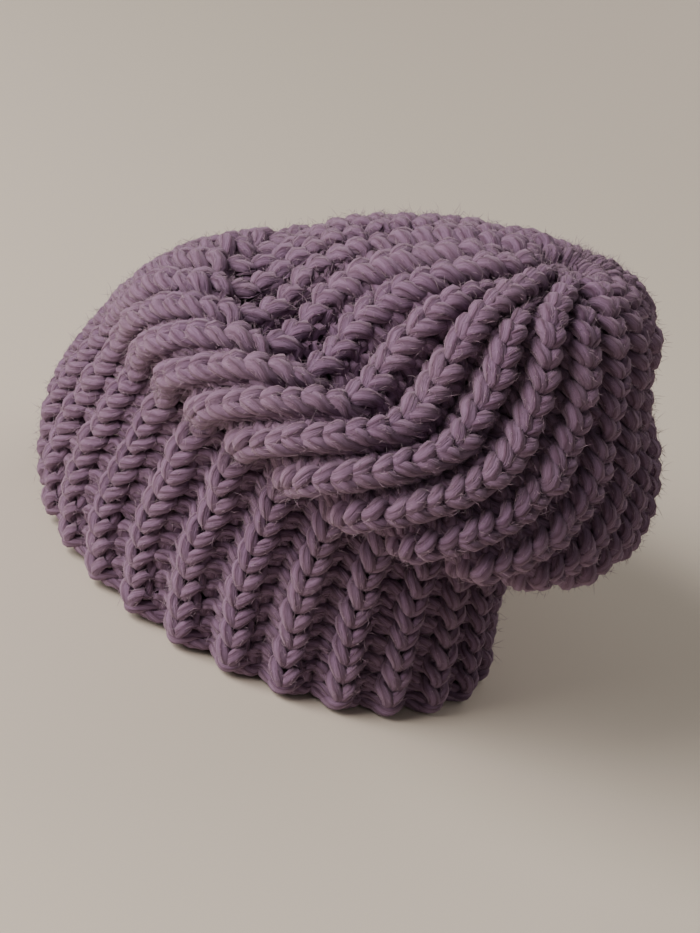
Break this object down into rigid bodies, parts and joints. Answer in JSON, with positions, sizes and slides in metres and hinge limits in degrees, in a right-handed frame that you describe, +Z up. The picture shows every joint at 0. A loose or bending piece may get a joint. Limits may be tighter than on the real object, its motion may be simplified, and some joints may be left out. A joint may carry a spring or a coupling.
{
  "type": "slouchy knit beanie",
  "caption": "Slouchy ribbed beanie in chunky wool: a snug band, a soft fold hanging over it, and a twisted top gathered shut towards the back.",
  "frame": {"origin": "centre of the rim's opening, in the plane of the rim's lower edge", "axes": "+Z up through the crown, -Y towards the wearer's face, +Y towards the back of the head, +X towards the wearer's left ear"},
  "size_m": [0.2297, 0.2529, 0.183],
  "materials": {
    "wool": "matte plied wool in dusty mauve, with a soft halo of loose fibres"
  },
  "bodies": {
    "root": {"knit_body": "wool"}
  },
  "joints": []
}
